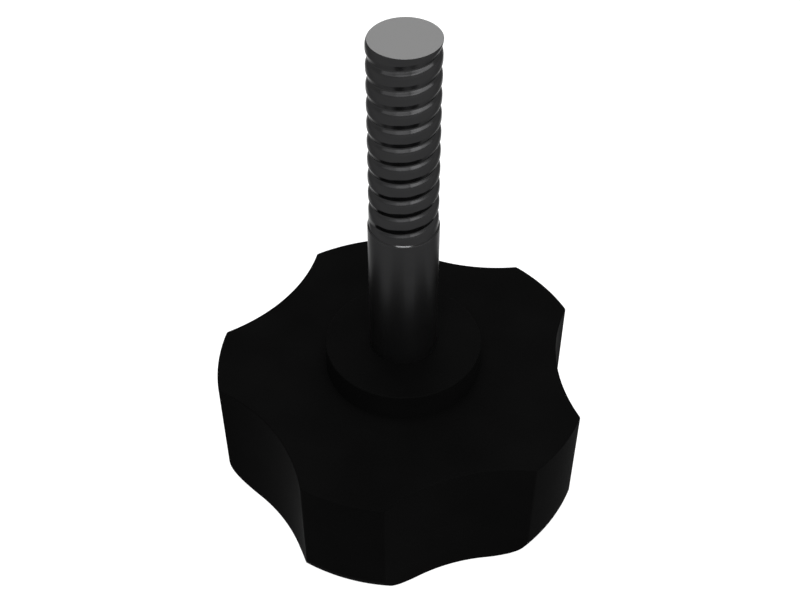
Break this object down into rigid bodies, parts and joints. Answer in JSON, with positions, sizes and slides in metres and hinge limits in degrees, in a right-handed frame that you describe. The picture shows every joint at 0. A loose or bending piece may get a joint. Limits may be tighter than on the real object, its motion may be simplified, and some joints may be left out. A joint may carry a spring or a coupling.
{
  "type": "adjustment knob",
  "caption": "Lobed adjustment knob with a moulded grip head, a raised hub and a steel stud with a plain shank and a right-hand thread.",
  "frame": {"origin": "centre of the head's flat outer face, on which the knob stands", "axes": "+Z along the stud, towards its tip; the first lobe points 36.2 degrees from +X towards +Y"},
  "size_m": [0.0568, 0.059, 0.0823],
  "materials": {
    "head_plastic": "black moulded plastic with a fine satin grain",
    "stud_steel": "blackened turned steel, oiled, with a bare cut end"
  },
  "bodies": {
    "root": {"knob_head": "head_plastic", "stud": "stud_steel"}
  },
  "joints": []
}
